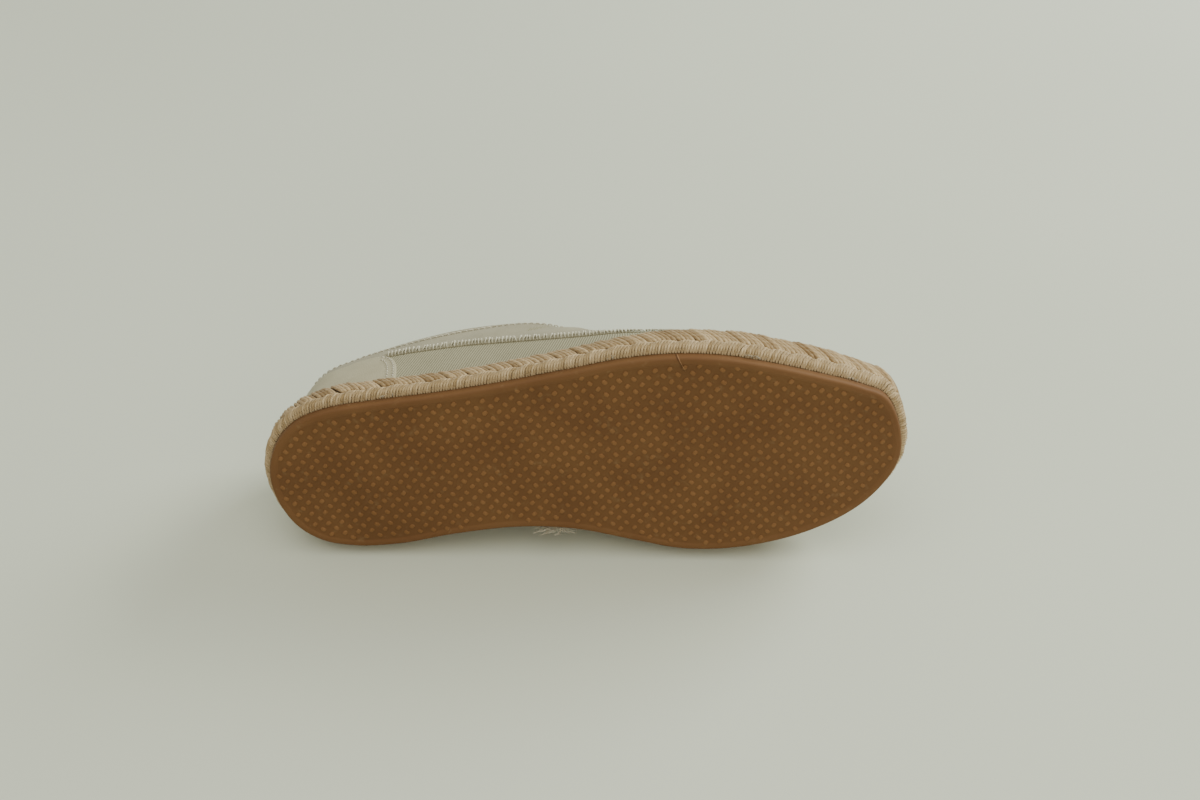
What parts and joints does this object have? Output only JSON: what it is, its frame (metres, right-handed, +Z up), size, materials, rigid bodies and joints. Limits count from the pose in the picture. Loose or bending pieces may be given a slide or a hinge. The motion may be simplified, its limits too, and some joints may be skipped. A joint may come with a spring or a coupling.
{
  "type": "espadrille",
  "caption": "Right-foot low slip-on espadrille lying on its medial side, with dotted rubber sole, braided jute midsole and hollow upper.",
  "frame": {"origin": "middle of the bounding box in X and Y, on the floor that the shoe lies on", "axes": "+X from heel to toe along the floor, +Y away from the sole's underside, +Z up through the lateral side"},
  "size_m": [0.2922, 0.093, 0.1107],
  "materials": {
    "rubber_sole": "matte moulded brown rubber",
    "jute": "raw braided jute",
    "insole": "matte woven cotton",
    "upper": "matte suede and ribbed canvas",
    "counter_leather": "smooth off-white leather, low sheen",
    "thread": "matte thick cotton thread"
  },
  "bodies": {
    "root": {"outsole": "rubber_sole", "jute_midsole": "jute", "insole": "insole", "upper": "upper", "heel_counter": "counter_leather"}
  },
  "joints": []
}
